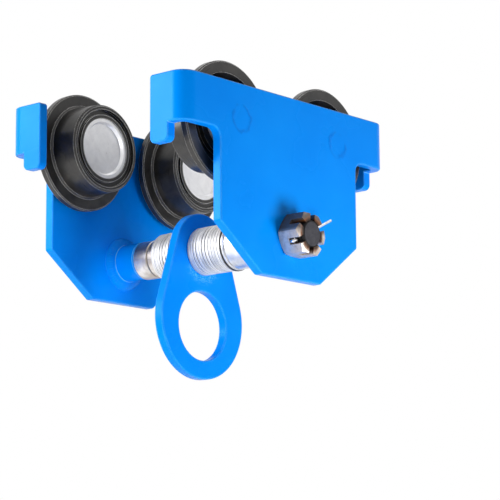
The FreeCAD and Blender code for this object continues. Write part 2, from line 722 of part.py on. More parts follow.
for corner in ("front_left", "front_right", "rear_left", "rear_right"):
    at_front = corner.startswith("front")
    across = "-wheel_spacing / 2" if corner.endswith("left") else "wheel_spacing / 2"
    inside = front_inside if at_front else rear_inside
    outside = front_outside if at_front else rear_outside
    way = "+" if at_front else "-"
    facing = to_rear if at_front else to_front

    wheel = turned_piece("wheel_" + corner, wheel_profile)
    place(wheel, across, inside, "axle_height", facing)

    stud = turned_piece("stud_" + corner, [
        ("0", "0"), ("stud_shank_diameter / 2 - stud_rivet_chamfer", "0"),
        ("stud_shank_diameter / 2", "stud_rivet_chamfer"), ("stud_shank_diameter / 2", "plate_thickness"),
        ("stud_collar_diameter / 2", "plate_thickness"), ("stud_collar_diameter / 2", stud_seat_start),
        (stud_seat, stud_seat_start), (stud_seat, groove_start), (groove_floor, groove_start),
        (groove_floor, groove_end), (stud_seat, groove_end), (stud_seat, stud_end + " - stud_end_chamfer"),
        (stud_seat + " - stud_end_chamfer", stud_end), ("0", stud_end),
    ])
    place(stud, across, outside, "axle_height", facing)

    outer = bearing_ring("bearing_outer_" + corner, "outer_land_radius", "bearing_outside / 2")
    place(outer, across, inside + " " + way + " " + seat_start, "axle_height", facing)
    inner = bearing_ring("bearing_inner_" + corner, inner_bore, "inner_land_radius")
    place(inner, across, inside + " " + way + " " + seat_start, "axle_height", facing)

    balls = new_body("bearing_balls_" + corner)
    balls.AllowCompound = True
    ball = balls.newObject("PartDesign::AdditiveSphere", "ball_" + corner)
    ball.AttachmentSupport = [(origin_item(balls, "XY_Plane"), "")]
    ball.MapMode = "FlatFace"
    ball.setExpression("Radius", bound("ball_diameter / 2"))
    ball.setExpression("AttachmentOffset.Base.x", bound(pitch_radius))
    ball.setExpression("AttachmentOffset.Base.z", bound("bearing_width / 2"))
    doc.recompute()
    ball_row = balls.newObject("PartDesign::PolarPattern", "ball_row_" + corner)
    ball_row.Originals = [ball]
    ball_row.Axis = (origin_item(balls, "Z_Axis"), [""])
    ball_row.Angle = 360
    ball_row.setExpression("Occurrences", bound("ball_count"))
    balls.Tip = ball_row
    doc.recompute()
    place(balls, across, inside + " " + way + " " + seat_start, "axle_height", facing)

    shields = new_body("bearing_shields_" + corner)
    shields.AllowCompound = True
    shield_sketch = new_sketch(shields, "shield_profile_" + corner, "XZ_Plane")
    for low in ("shield_setback", "bearing_width - shield_setback - shield_thickness"):
        draw_loop(shield_sketch, [
            (shield_in, low), ("outer_land_radius", low), ("outer_land_radius", low + " + shield_thickness"),
            (shield_in, low + " + shield_thickness"),
        ])
    turn(shields, "shields_turned_" + corner, shield_sketch)
    place(shields, across, inside + " " + way + " " + seat_start, "axle_height", facing)

    clip = new_body("circlip_" + corner)
    clip_sketch = new_sketch(clip, "circlip_outline_" + corner, "XY_Plane")
    draw_circle(clip_sketch, "0", "0", groove_floor + " + circlip_wall")
    draw_circle(clip_sketch, "0", "0", groove_floor + " + circlip_play")
    pad(clip, "circlip_blank_" + corner, clip_sketch, "circlip_thickness")
    clip_gap = new_sketch(clip, "circlip_gap_" + corner, "XY_Plane", "circlip_thickness")
    draw_loop(clip_gap, [
        ("-circlip_opening / 2", "0"), ("circlip_opening / 2", "0"),
        ("circlip_opening / 2", "bearing_bore"), ("-circlip_opening / 2", "bearing_bore"),
    ])
    cut(clip, "circlip_opened_" + corner, clip_gap, "circlip_thickness")
    place(clip, across, outside + " " + way + " " + groove_start, "axle_height", facing)

    cap = turned_piece("dust_cap_" + corner, cap_profile)
    place(cap, across, inside, "axle_height", facing)

doc.recompute()

for item in doc.Objects:
    if "Invalid" in item.State or "Error" in item.State:
        raise RuntimeError(item.Label + " failed: " + ", ".join(item.State))
for part in parts:
    if part.Shape.isNull() or not part.Shape.isValid() or not part.Shape.Solids:
        raise RuntimeError(part.Label + " has no valid solid")

os.makedirs("parts", exist_ok=True)
for part in parts:
    part.Shape.exportStep("parts/" + part.Label + ".step")
    print(part.Label, len(part.Shape.Solids), round(part.Shape.Volume, 1))
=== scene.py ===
import bmesh
import bpy
import math
import random
from mathutils import Matrix, Vector


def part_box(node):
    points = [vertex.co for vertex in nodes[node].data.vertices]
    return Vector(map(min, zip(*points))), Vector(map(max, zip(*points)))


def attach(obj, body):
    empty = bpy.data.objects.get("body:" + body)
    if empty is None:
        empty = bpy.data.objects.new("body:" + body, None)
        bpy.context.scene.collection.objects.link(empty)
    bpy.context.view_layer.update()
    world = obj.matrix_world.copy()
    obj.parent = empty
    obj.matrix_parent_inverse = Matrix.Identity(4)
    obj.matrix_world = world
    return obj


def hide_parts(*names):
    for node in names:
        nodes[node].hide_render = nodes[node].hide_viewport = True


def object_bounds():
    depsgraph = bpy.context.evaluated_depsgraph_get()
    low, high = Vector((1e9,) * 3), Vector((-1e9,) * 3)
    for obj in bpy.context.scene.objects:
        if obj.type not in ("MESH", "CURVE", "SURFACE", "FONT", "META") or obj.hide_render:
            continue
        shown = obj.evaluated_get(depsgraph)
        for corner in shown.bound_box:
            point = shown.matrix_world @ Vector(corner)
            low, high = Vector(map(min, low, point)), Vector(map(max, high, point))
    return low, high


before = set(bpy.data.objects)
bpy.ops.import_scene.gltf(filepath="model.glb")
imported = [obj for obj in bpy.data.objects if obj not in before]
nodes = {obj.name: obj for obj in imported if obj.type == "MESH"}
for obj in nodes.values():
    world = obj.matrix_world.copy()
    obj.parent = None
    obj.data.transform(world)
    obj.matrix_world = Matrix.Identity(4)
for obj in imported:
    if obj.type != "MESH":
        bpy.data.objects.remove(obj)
cadLow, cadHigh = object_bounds()
scene = bpy.context.scene
wheelCorners = ["front_left", "front_right", "rear_left", "rear_right"]


def middleOf(name):
    low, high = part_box(name)
    return (low + high) / 2


# Places that the finishes and the added pieces share, in metres as everything below
shaftHeight = middleOf("long_collar").z
axleHeight = middleOf("stud_front_left").z
axleAcross = middleOf("stud_front_right").x
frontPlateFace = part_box("front_side_plate")[0].y
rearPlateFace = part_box("rear_side_plate")[1].y
print("frame loaded:", len(nodes), "nodes")

cameraValues = {
    "place": (-1.16917, -1.06061, -0.3296), "azimuth": -49.16, "elevation": -10.28, "roll": -0.37,
    "focalPixels": 2075.36, "imagePixels": 500, "sensorWidth": 36, "clipEnd": 50,
}


def makeCamera(values):
    azimuth, elevation, roll = (math.radians(values[name]) for name in ("azimuth", "elevation", "roll"))
    back = Vector((math.sin(azimuth) * math.cos(elevation), -math.cos(azimuth) * math.cos(elevation),
                   math.sin(elevation)))
    level = Vector((math.cos(azimuth), math.sin(azimuth), 0))
    upright = back.cross(level)
    right = level * math.cos(roll) + upright * math.sin(roll)
    up = upright * math.cos(roll) - level * math.sin(roll)
    turn = Matrix((right, up, back)).transposed().to_4x4()
    data = bpy.data.cameras.new("photoCamera")
    data.sensor_width = values["sensorWidth"]
    data.lens = values["focalPixels"] / values["imagePixels"] * values["sensorWidth"]
    data.clip_end = values["clipEnd"]
    camera = bpy.data.objects.new("photoCamera", data)
    camera.matrix_world = Matrix.Translation(values["place"]) @ turn
    scene.collection.objects.link(camera)
    scene.camera = camera


makeCamera(cameraValues)
print("camera made")


# Small helpers for node trees: a value given as a socket is linked, any other is set
def addNode(tree, kind, inputs=None, **settings):
    node = tree.nodes.new(kind)
    for name, setting in settings.items():
        setattr(node, name, setting)
    for name, given in (inputs or {}).items():
        if isinstance(given, bpy.types.NodeSocket):
            tree.links.new(given, node.inputs[name])
        else:
            node.inputs[name].default_value = given
    return node


def calc(tree, operation, first, second=None, third=None):
    given = {index: value for index, value in enumerate((first, second, third)) if value is not None}
    return addNode(tree, "ShaderNodeMath", given, operation=operation).outputs[0]


def remap(tree, given, fromLow, fromHigh, toLow=0.0, toHigh=1.0, kind="LINEAR"):
    return addNode(tree, "ShaderNodeMapRange", {
        "Value": given, "From Min": fromLow, "From Max": fromHigh, "To Min": toLow, "To Max": toHigh,
    }, interpolation_type=kind).outputs["Result"]


def noise(tree, place, scale, detail=2.0, roughness=0.5, distortion=0.0):
    return addNode(tree, "ShaderNodeTexNoise", {
        "Vector": place, "Scale": scale, "Detail": detail, "Roughness": roughness, "Distortion": distortion,
    }).outputs[0]


def joinXyz(tree, x=0.0, y=0.0, z=0.0):
    return addNode(tree, "ShaderNodeCombineXYZ", {"X": x, "Y": y, "Z": z}).outputs[0]


def blendColour(tree, factor, first, second):
    mix = tree.nodes.new("ShaderNodeMix")
    mix.data_type = "RGBA"
    for index, given in ((0, factor), (6, first), (7, second)):  # sockets of the factor and the two colours
        if isinstance(given, bpy.types.NodeSocket):
            tree.links.new(given, mix.inputs[index])
        else:
            mix.inputs[index].default_value = given if index == 0 else (*given, 1)
    return mix.outputs[2]


# Shader group that reads a place and some named numbers, each with its starting value
def newGroup(name, starts, outputs):
    group = bpy.data.node_groups.new(name, "ShaderNodeTree")
    group.interface.new_socket(name="Vector", in_out="INPUT", socket_type="NodeSocketVector")
    for label, start in starts.items():
        socket = group.interface.new_socket(name=label, in_out="INPUT", socket_type="NodeSocketFloat")
        socket.default_value = start
    for label in outputs:
        group.interface.new_socket(name=label, in_out="OUTPUT", socket_type="NodeSocketFloat")
    return group


def groupIn(group):
    return group.nodes.new("NodeGroupInput").outputs


def groupOut(group, **results):
    end = group.nodes.new("NodeGroupOutput")
    for name, socket in results.items():
        group.links.new(socket, end.inputs[name])


def useGroup(tree, group, **inputs):
    return addNode(tree, "ShaderNodeGroup", inputs, node_tree=group).outputs


lightValues = {
    "keyPlace": (0.12, -0.5, -0.28), "keySize": 0.25, "keyPower": 2.5,
    "leftPlace": (-1.1, 0.0, -0.42), "leftSize": 0.6, "leftPower": 8,
    "backPlace": (-1.05, 0.72, 0.26), "backSize": 0.5, "backPower": 12,
    "topPlace": (0.5, -0.8, 1.3), "topSize": 0.9, "topPower": 3.5,
    "skyStrength": 0.28, "skyTop": 0.45, "skyFloor": 0.7, "skyLow": -0.6, "skyHigh": 0.7, "backdrop": 1.0,
    "floorDrop": 0.42, "floorHalf": 60, "floorColour": (0.86, 0.86, 0.865), "floorRoughness": 0.7,
    "floorGlow": 0.66,
}


# One where the camera, a reflection or a clear piece looks at the surroundings
def raysThatSeeWhite(tree):
    path = addNode(tree, "ShaderNodeLightPath").outputs
    seen = calc(tree, "MAXIMUM", path["Is Camera Ray"], path["Is Glossy Ray"])
    return calc(tree, "MAXIMUM", seen, path["Is Transmission Ray"])


def makeWorld(values):
    world = bpy.data.worlds.new("studio")
    scene.world = world
    world.use_nodes = True
    tree = world.node_tree
    tree.nodes.clear()
    spot = addNode(tree, "ShaderNodeTexCoord").outputs["Generated"]
    height = addNode(tree, "ShaderNodeSeparateXYZ", {0: spot}).outputs["Z"]
    tone = remap(tree, height, values["skyLow"], values["skyHigh"], values["skyFloor"], values["skyTop"])
    sky = addNode(tree, "ShaderNodeBackground", {
        "Color": joinXyz(tree, tone, tone, tone), "Strength": values["skyStrength"]})
    white = addNode(tree, "ShaderNodeBackground", {"Color": (1, 1, 1, 1), "Strength": values["backdrop"]})
    choose = addNode(tree, "ShaderNodeMixShader", {
        "Fac": raysThatSeeWhite(tree), 1: sky.outputs[0], 2: white.outputs[0]})
    addNode(tree, "ShaderNodeOutputWorld", {"Surface": choose.outputs[0]})


def makeFloor(values):
    half = values["floorHalf"]
    height = cadLow.z - values["floorDrop"]
    mesh = bpy.data.meshes.new("studioFloor")
    mesh.from_pydata([(-half, -half, height), (half, -half, height), (half, half, height), (-half, half, height)],
                     [], [(0, 1, 2, 3)])
    floor = bpy.data.objects.new("studioFloor", mesh)
    scene.collection.objects.link(floor)
    material = bpy.data.materials.new("paleFloor")
    material.use_nodes = True
    tree = material.node_tree
    shader = tree.nodes["Principled BSDF"]
    shader.inputs["Base Color"].default_value = (*values["floorColour"], 1)
    shader.inputs["Roughness"].default_value = values["floorRoughness"]
    shader.inputs["Emission Color"].default_value = (1, 1, 1, 1)
    glow = calc(tree, "MULTIPLY", raysThatSeeWhite(tree), values["floorGlow"])
    tree.links.new(glow, shader.inputs["Emission Strength"])
    choose = addNode(tree, "ShaderNodeMixShader", {  # clear when looked at from below
        "Fac": addNode(tree, "ShaderNodeNewGeometry").outputs["Backfacing"], 1: shader.outputs[0],
        2: addNode(tree, "ShaderNodeBsdfTransparent").outputs[0]})
    tree.links.new(choose.outputs[0], tree.nodes["Material Output"].inputs["Surface"])
    mesh.materials.append(material)


def makeLights(values):
    target = (cadLow + cadHigh) / 2
    for name in ("key", "left", "back", "top"):
        data = bpy.data.lights.new(name + "Lamp", "AREA")
        data.shape = "SQUARE"
        data.size = values[name + "Size"]
        data.energy = values[name + "Power"]
        lamp = bpy.data.objects.new(name + "Lamp", data)
        lamp.location = values[name + "Place"]
        lamp.visible_camera = False
        lamp.rotation_euler = (target - Vector(values[name + "Place"])).to_track_quat("-Z", "Y").to_euler()
        scene.collection.objects.link(lamp)


scene.view_settings.view_transform = "Standard"
makeWorld(lightValues)
makeFloor(lightValues)
makeLights(lightValues)
print("studio made")


# Distance from an axle or the shaft, all of which run along Y, and the direction round it
def makeAxisGroup():
    group = newGroup("roundTheAxis", {"Across": 0.0, "Up": 0.0}, ["Distance", "Angle", "Along", "Side", "Rise"])
    given = groupIn(group)
    split = addNode(group, "ShaderNodeSeparateXYZ", {0: given["Vector"]}).outputs
    side = calc(group, "SUBTRACT", calc(group, "ABSOLUTE", split["X"]), given["Across"])
    up = calc(group, "SUBTRACT", split["Z"], given["Up"])
    distance = calc(group, "SQRT", calc(group, "MULTIPLY_ADD", side, side, calc(group, "MULTIPLY", up, up)))
    groupOut(group, Distance=distance, Angle=calc(group, "ARCTAN2", up, side), Along=split["Y"],
             Side=calc(group, "DIVIDE", side, distance), Rise=calc(group, "DIVIDE", up, distance))
    return group


# Sprayed enamel: fine orange peel, slow changes of tone and a few dust specks
def makeEnamelGroup():
    group = newGroup("sprayedEnamel", {"PeelScale": 520.0, "ToneScale": 16.0, "SpeckScale": 900.0},
                     ["Height", "Tone", "Speck"])
    given = groupIn(group)
    slow = noise(group, given["Vector"], given["ToneScale"], 3.0, 0.55)
    specks = noise(group, given["Vector"], given["SpeckScale"], 1.0)
    groupOut(group, Height=noise(group, given["Vector"], given["PeelScale"], 2.0, 0.45),
             Tone=remap(group, slow, 0.3, 0.7), Speck=remap(group, specks, 0.72, 0.8))
    return group


# Turned or ground metal: lathe lines round the axis, cloudy plating and small stains
def makeTurnedGroup(axisGroup):
    group = newGroup("turnedMetal", {"Across": 0.0, "Up": 0.0, "LineScale": 3500.0, "CloudScale": 120.0},
                     ["Height", "Lines", "Cloud"])
    given = groupIn(group)
    axis = useGroup(group, axisGroup, Vector=given["Vector"], Across=given["Across"], Up=given["Up"])
    ring = joinXyz(group, calc(group, "MULTIPLY_ADD", axis["Distance"], given["LineScale"], axis["Side"]),
                   calc(group, "MULTIPLY", axis["Along"], given["LineScale"]), axis["Rise"])
    lines = noise(group, ring, 1.0, 3.0, 0.6)
    cloud = noise(group, given["Vector"], given["CloudScale"], 4.0, 0.6, 0.4)
    groupOut(group, Height=lines, Lines=remap(group, lines, 0.3, 0.7), Cloud=remap(group, cloud, 0.35, 0.68))
    return group


# Faint, broken rings that the riveted stud ends press through the paint
def makeRivetGroup(axisGroup):
    group = newGroup("rivetMarks", {
        "Across": 0.056, "Up": 0.0355, "Radius": 0.0098, "Width": 0.0013, "Wander": 0.006}, ["Mask"])
    given = groupIn(group)
    axis = useGroup(group, axisGroup, Vector=given["Vector"], Across=given["Across"], Up=given["Up"])
    drift = calc(group, "SUBTRACT", noise(group, given["Vector"], 150.0, 2.0, 0.6), 0.5)
    shifted = calc(group, "MULTIPLY_ADD", drift, given["Wander"], axis["Distance"])
    off = calc(group, "DIVIDE", calc(group, "SUBTRACT", shifted, given["Radius"]), given["Width"])
    ring = calc(group, "EXPONENT", calc(group, "MULTIPLY", calc(group, "MULTIPLY", off, off), -1.0))
    strength = remap(group, noise(group, given["Vector"], 95.0, 1.0), 0.34, 0.54)
    groupOut(group, Mask=calc(group, "MULTIPLY", ring, strength))
    return group


# Screw thread cut along the shaft
def makeThreadGroup(axisGroup):
    group = newGroup("screwThread", {"Up": 0.0, "Pitch": 0.0025, "EndsAt": -0.08, "Radius": 0.0097}, ["Height"])
    given = groupIn(group)
    axis = useGroup(group, axisGroup, Vector=given["Vector"], Up=given["Up"])
    turns = calc(group, "MULTIPLY_ADD", axis["Angle"], 1 / (2 * math.pi),
                 calc(group, "DIVIDE", axis["Along"], given["Pitch"]))
    outer = calc(group, "GREATER_THAN", axis["Distance"], given["Radius"])
    inRange = calc(group, "MULTIPLY", outer, calc(group, "LESS_THAN", axis["Along"], given["EndsAt"]))
    groupOut(group, Height=calc(group, "MULTIPLY", calc(group, "PINGPONG", turns, 0.5), inRange))
    return group


# Rims of stacked washers: each a little lighter or darker, a sheared line round its middle, and painted shade in the
# gaps between them
def makeStackGroup(axisGroup):
    group = newGroup("stackedRims", {"Up": 0.0, "Pitch": 0.003, "Start": 0.0, "Count": 10.0, "Radius": 0.0185},
                     ["Height", "Shade", "Seam", "Gap"])
    given = groupIn(group)
    axis = useGroup(group, axisGroup, Vector=given["Vector"], Up=given["Up"])
    place = calc(group, "DIVIDE", calc(group, "SUBTRACT", axis["Along"], given["Start"]), given["Pitch"])
    which = calc(group, "FLOOR", place)
    pick = addNode(group, "ShaderNodeTexWhiteNoise", {"W": which}, noise_dimensions="1D")
    roundIt = joinXyz(group, calc(group, "MULTIPLY", axis["Side"], 1.7), calc(group, "MULTIPLY", which, 7.3),
                      calc(group, "MULTIPLY", axis["Rise"], 1.7))
    wobble = remap(group, noise(group, roundIt, 1.0, 3.0), 0.3, 0.7, 0.3, 0.68)
    inside = calc(group, "SUBTRACT", calc(group, "FRACT", place), wobble)
    seam = calc(group, "EXPONENT", calc(group, "MULTIPLY", calc(group, "MULTIPLY", inside, inside), -300.0))
    rough = calc(group, "MULTIPLY", noise(group, given["Vector"], 900.0, 3.0), 0.25)
    # Painted shade in the gaps: points a little inside the washers' outer radius, away from the stack's two ends
    depth = remap(group, calc(group, "SUBTRACT", given["Radius"], axis["Distance"]), 0.0002, 0.00045)
    fromEnd = calc(group, "MINIMUM", place, calc(group, "SUBTRACT", given["Count"], place))
    groupOut(group, Height=calc(group, "SUBTRACT", rough, seam), Shade=pick.outputs["Value"], Seam=seam,
             Gap=calc(group, "MULTIPLY", depth, calc(group, "GREATER_THAN", fromEnd, 0.4)))
    return group


# Paint scuffed by the washers where they turn against a plate, below the shaft
def makeScuffGroup(axisGroup):
    group = newGroup("washerScuffs", {"Up": 0.0, "From": 0.018, "To": 0.028, "LineScale": 1500.0}, ["Mask"])
    given = groupIn(group)
    axis = useGroup(group, axisGroup, Vector=given["Vector"], Up=given["Up"])
    inside = remap(group, axis["Distance"], given["From"], given["To"], 1.0, 0.0, "SMOOTHSTEP")
    below = remap(group, axis["Rise"], -0.45, -0.85, 0.0, 1.0, "SMOOTHSTEP")
    stretch = joinXyz(group, calc(group, "MULTIPLY", axis["Distance"], given["LineScale"]),
                      calc(group, "MULTIPLY", axis["Side"], 9.0), calc(group, "MULTIPLY", axis["Rise"], 9.0))
    lines = remap(group, noise(group, stretch, 1.0, 3.0, 0.6), 0.48, 0.62)
    groupOut(group, Mask=calc(group, "MULTIPLY", calc(group, "MULTIPLY", inside, below), lines))
    return group


# Edge mask from a bevelled normal: it places painted highlights along the edges, and the bare rubbed rims of the
# wheels
def makeEdgeGroup():
    group = newGroup("edgeHighlightMask", {"Reach": 0.0014, "Low": 0.008, "High": 0.13, "Scale": 90.0}, ["Mask"])
    given = groupIn(group)
    soft = addNode(group, "ShaderNodeBevel", {"Radius": given["Reach"]}, samples=6).outputs[0]
    true = addNode(group, "ShaderNodeNewGeometry").outputs["Normal"]
    match = addNode(group, "ShaderNodeVectorMath", {0: soft, 1: true}, operation="DOT_PRODUCT").outputs["Value"]
    edge = remap(group, calc(group, "SUBTRACT", 1.0, match), given["Low"], given["High"])
    patchy = remap(group, noise(group, given["Vector"], given["Scale"]), 0.2, 0.6, 0.45, 1.0)
    groupOut(group, Mask=calc(group, "MULTIPLY", edge, patchy))
    return group


axisGroup = makeAxisGroup()
edgeGroup = makeEdgeGroup()
enamelGroup = makeEnamelGroup()
turnedGroup = makeTurnedGroup(axisGroup)
rivetGroup = makeRivetGroup(axisGroup)
threadGroup = makeThreadGroup(axisGroup)
stackGroup = makeStackGroup(axisGroup)
scuffGroup = makeScuffGroup(axisGroup)
print("finish groups made")


def newMaterial(name, **settings):
    material = bpy.data.materials.new(name)
    material.use_nodes = True
    tree = material.node_tree
    shader = tree.nodes["Principled BSDF"]
    for socket, given in settings.items():
        shader.inputs[socket].default_value = given
    return material, tree, shader, addNode(tree, "ShaderNodeTexCoord").outputs["Object"]


# Links the colour, the roughness and a chain of bumps, each a height and its depth in metres
def linkSurface(tree, shader, colour, rough, heights):
    tree.links.new(colour, shader.inputs["Base Color"])
    tree.links.new(rough, shader.inputs["Roughness"])
    normal = None
    for height, depth in heights:
        bump = addNode(tree, "ShaderNodeBump", {"Height": height, "Distance": depth, "Strength": 1.0})
        if normal is not None:
            tree.links.new(normal, bump.inputs["Normal"])
        normal = bump.outputs[0]
    tree.links.new(normal, shader.inputs["Normal"])


def roughBy(tree, mask, values):
    return remap(tree, mask, 0, 1, values["roughLow"], values["roughHigh"])


enamelValues = {
    "colour": (0.0, 0.288, 0.99), "shade": (0.0, 0.238, 0.915), "toneShare": 0.7,
    "markShade": (0.0, 0.15, 0.68), "markShare": 0.6, "markDepth": 0.00014,
    "edgeHighlightAndScuffColour": (0.24, 0.7, 1.0), "edgeHighlightShare": 0.95, "weldEdgeHighlightShare": 0.3,
    "edgeReach": 0.0011, "edgeLow": 0.004, "edgeHigh": 0.05, "eyeScuffShare": 0.55,
    "roughLow": 0.2, "roughHigh": 0.32, "speckRough": 0.15, "peelDepth": 0.000012,
    "gloss": 0.12, "glossTint": (0.04, 0.6, 1.0, 1),
}


def makeBlueEnamel(name, values, edgeHighlightShare, scuffShare=0.0):
    material, tree, shader, spot = newMaterial(name, **{
        "Specular IOR Level": values["gloss"], "Specular Tint": values["glossTint"]})
    coat = useGroup(tree, enamelGroup, Vector=spot)
    marks = useGroup(tree, rivetGroup, Vector=spot, Across=axleAcross, Up=axleHeight)["Mask"]
    edges = useGroup(tree, edgeGroup, Vector=spot, Reach=values["edgeReach"], Low=values["edgeLow"],
                     High=values["edgeHigh"])["Mask"]
    tone = calc(tree, "MULTIPLY", coat["Tone"], values["toneShare"])
    colour = blendColour(tree, tone, values["colour"], values["shade"])
    colour = blendColour(tree, calc(tree, "MULTIPLY", marks, values["markShare"]), colour, values["markShade"])
    # Painted highlight: a lighter blue along the edges, where the rounded edges would catch the light
    colour = blendColour(tree, calc(tree, "MULTIPLY", edges, edgeHighlightShare), colour, values["edgeHighlightAndScuffColour"])
    if scuffShare:
        scuffs = useGroup(tree, scuffGroup, Vector=spot, Up=shaftHeight)["Mask"]
        colour = blendColour(tree, calc(tree, "MULTIPLY", scuffs, scuffShare), colour, values["edgeHighlightAndScuffColour"])
    rough = calc(tree, "MULTIPLY_ADD", coat["Speck"], values["speckRough"], roughBy(tree, coat["Tone"], values))
    linkSurface(tree, shader, colour, rough, [(marks, values["markDepth"]), (coat["Height"], values["peelDepth"])])
    return material


zincValues = {
    "bright": (0.82, 0.825, 0.84), "dull": (0.6, 0.605, 0.62), "roughLow": 0.26, "roughHigh": 0.46,
    "lineDepth": 0.00001,
}
capValues = dict(zincValues, bright=(0.8, 0.8, 0.81), dull=(0.7, 0.7, 0.715))
collarValues = dict(zincValues, bright=(0.78, 0.745, 0.71), dull=(0.46, 0.425, 0.395), warm=(0.52, 0.44, 0.36),
                    warmShare=0.8, warmScale=60.0, grime=(0.16, 0.14, 0.12), grimeShare=0.8, grimeFrom=0.0003,
                    grimeTo=0.0011)


# With a joint it is the finish of two collars that meet there: warm stains, and grime along the joint
def makeZinc(name, values, across, up, lineScale, joint=None):
    material, tree, shader, spot = newMaterial(name, Metallic=1.0)
    turned = useGroup(tree, turnedGroup, Vector=spot, Across=across, Up=up, LineScale=lineScale)
    base = blendColour(tree, turned["Cloud"], values["bright"], values["dull"])
    if joint is not None:
        stain = remap(tree, noise(tree, spot, values["warmScale"], 3.0), 0.4, 0.65)
        base = blendColour(tree, calc(tree, "MULTIPLY", stain, values["warmShare"]), base, values["warm"])
        along = useGroup(tree, axisGroup, Vector=spot)["Along"]
        off = calc(tree, "ABSOLUTE", calc(tree, "SUBTRACT", along, joint))
        grime = remap(tree, off, values["grimeFrom"], values["grimeTo"], values["grimeShare"], 0.0)
        base = blendColour(tree, grime, base, values["grime"])
    linkSurface(tree, shader, base, roughBy(tree, turned["Lines"], values),
                [(turned["Height"], values["lineDepth"])])
    return material


washerFinish = {
    "bright": (0.83, 0.825, 0.82), "dull": (0.57, 0.565, 0.56), "shadeShare": 0.6, "cloudShare": 0.4,
    "seam": (0.24, 0.235, 0.23), "seamShare": 0.8, "seamDepth": 0.00014, "gapShadeColour": (0.015, 0.014, 0.013),
    "roughLow": 0.47, "roughHigh": 0.7, "lineScale": 2600.0, "lineDepth": 0.00001,
}


def makeWasherZinc(name, start, count, pitch, radius, values):
    material, tree, shader, spot = newMaterial(name, Metallic=1.0)
    turned = useGroup(tree, turnedGroup, Vector=spot, Up=shaftHeight, LineScale=values["lineScale"])
    rims = useGroup(tree, stackGroup, Vector=spot, Up=shaftHeight, Pitch=pitch, Start=start, Count=count,
                    Radius=radius)
    cloud = calc(tree, "MULTIPLY", turned["Cloud"], values["cloudShare"])
    share = calc(tree, "MULTIPLY_ADD", rims["Shade"], values["shadeShare"], cloud)
    base = blendColour(tree, share, values["bright"], values["dull"])
    lined = blendColour(tree, calc(tree, "MULTIPLY", rims["Seam"], values["seamShare"]), base, values["seam"])
    # Painted shade in the gaps between the washers
    linkSurface(tree, shader, blendColour(tree, rims["Gap"], lined, values["gapShadeColour"]),
                roughBy(tree, turned["Lines"], values),
                [(rims["Height"], values["seamDepth"]), (turned["Height"], values["lineDepth"])])
    return material


nutValues = {
    "bright": (0.75, 0.67, 0.61), "grey": (0.43, 0.38, 0.34), "metallic": 0.62,
    "paintedUpperShade": (0.035, 0.03, 0.033), "upperShadeShare": 0.85, "upperShadeFrom": -0.05, "upperShadeTo": 0.3,
    "brown": (0.24, 0.085, 0.028), "brownInside": 0.0125, "brownOutside": 0.0142, "patchScale": 130.0,
    "deepShade": (0.02, 0.012, 0.008), "deepShare": 0.85, "deepInside": 0.0112, "deepOutside": 0.0128,
    "crownStart": -0.0995, "crownEnd": -0.1035, "lineScale": 1800.0, "cloudScale": 160.0,
    "roughLow": 0.34, "roughHigh": 0.52, "pitDepth": 0.00003,
}


# Painted shade on the nut's upper side, for the shade and dark reflection there; brown stains, and painted deep
# shade in the slots of its crown
def makeNutPlate(values):
    material, tree, shader, spot = newMaterial("platedNut", Metallic=values["metallic"])
    turned = useGroup(tree, turnedGroup, Vector=spot, Up=shaftHeight, LineScale=values["lineScale"],
                      CloudScale=values["cloudScale"])
    axis = useGroup(tree, axisGroup, Vector=spot, Up=shaftHeight)
    plain = blendColour(tree, turned["Cloud"], values["bright"], values["grey"])
    # Painted shade: the nut's upward faces darker, standing in for the shade and dark reflection there
    upperShadeMask = remap(tree, axis["Rise"], values["upperShadeFrom"], values["upperShadeTo"], 0.0, values["upperShadeShare"], "SMOOTHSTEP")
    base = blendColour(tree, upperShadeMask, plain, values["paintedUpperShade"])
    crown = remap(tree, axis["Along"], values["crownEnd"], values["crownStart"], 1, 0, "SMOOTHSTEP")
    deep = remap(tree, axis["Distance"], values["brownInside"], values["brownOutside"], 1.0, 0.1)
    patch = remap(tree, noise(tree, spot, values["patchScale"], 2.0, 0.6), 0.32, 0.54)
    stain = calc(tree, "MULTIPLY", calc(tree, "MULTIPLY", crown, deep), patch)
    stained = blendColour(tree, stain, base, values["brown"])
    # Painted shade deep in the slots of the crown
    slots = remap(tree, axis["Distance"], values["deepInside"], values["deepOutside"], values["deepShare"], 0)
    colour = blendColour(tree, calc(tree, "MULTIPLY", slots, crown), stained, values["deepShade"])
    linkSurface(tree, shader, colour, roughBy(tree, turned["Cloud"], values),
                [(turned["Cloud"], values["pitDepth"])])
    return material


shaftValues = {
    "face": (0.026, 0.026, 0.034), "worn": (0.05, 0.05, 0.06), "metallic": 0.25, "gloss": 0.3,
    "rim": (0.004, 0.004, 0.005), "rimStart": 0.0087, "rimEnd": 0.0093, "roughLow": 0.45, "roughHigh": 0.65,
    "threadPitch": 0.0025, "threadDepth": 0.0011, "threadEnd": -0.0785, "threadRadius": 0.0094,
    "lineScale": 1500.0, "cloudScale": 220.0, "grainScale": 1400.0, "grainDepth": 0.00002,
}


def makeDarkSteel(values):
    material, tree, shader, spot = newMaterial("oiledDarkSteel", **{
        "Metallic": values["metallic"], "Specular IOR Level": values["gloss"]})
    turned = useGroup(tree, turnedGroup, Vector=spot, Up=shaftHeight, LineScale=values["lineScale"],
                      CloudScale=values["cloudScale"])
    thread = useGroup(tree, threadGroup, Vector=spot, Up=shaftHeight, Pitch=values["threadPitch"],
                      EndsAt=values["threadEnd"], Radius=values["threadRadius"])
    axis = useGroup(tree, axisGroup, Vector=spot, Up=shaftHeight)
    steel = blendColour(tree, turned["Cloud"], values["face"], values["worn"])
    atEnd = calc(tree, "LESS_THAN", axis["Along"], values["threadEnd"])
    rim = calc(tree, "MULTIPLY", atEnd, remap(tree, axis["Distance"], values["rimStart"], values["rimEnd"]))
    grain = noise(tree, spot, values["grainScale"])
    linkSurface(tree, shader, blendColour(tree, rim, steel, values["rim"]), roughBy(tree, turned["Lines"], values),
                [(thread["Height"], values["threadDepth"]), (grain, values["grainDepth"])])
    return material


